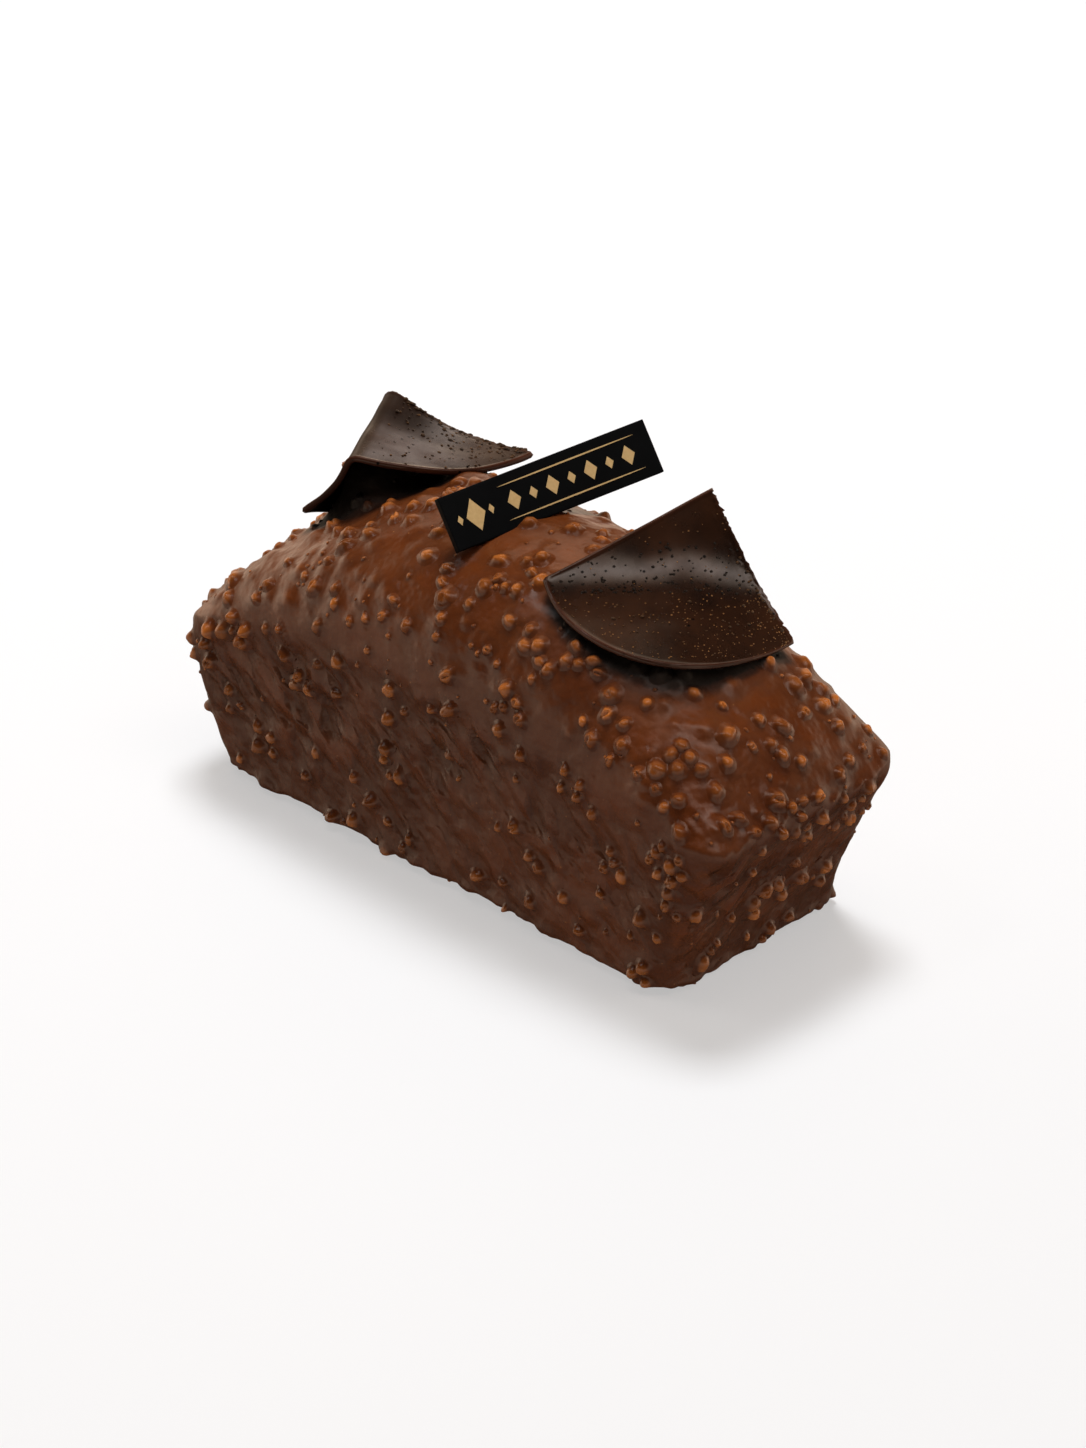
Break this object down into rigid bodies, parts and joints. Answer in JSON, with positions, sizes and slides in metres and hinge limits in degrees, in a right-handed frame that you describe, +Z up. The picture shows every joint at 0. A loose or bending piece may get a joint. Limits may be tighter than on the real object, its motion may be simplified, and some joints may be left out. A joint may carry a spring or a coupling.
{
  "type": "marble cake",
  "caption": "Loaf cake with a domed top under a chocolate glaze full of chopped nuts, dressed with curved dark chocolate shards and a slim dark plaque across the crown.",
  "frame": {"origin": "centre of the flat base that the cake rests on", "axes": "+X along the loaf towards its flared near end, +Y across it, +Z up"},
  "size_m": [0.2305, 0.0948, 0.1299],
  "materials": {
    "glaze": "satin milk chocolate glaze with chopped nuts",
    "dark_chocolate": "satin dark chocolate",
    "plaque": "satin black chocolate"
  },
  "bodies": {
    "root": {"cake": "glaze", "plaque": "plaque", "shard_front": "dark_chocolate", "shard_back": "dark_chocolate"}
  },
  "joints": []
}
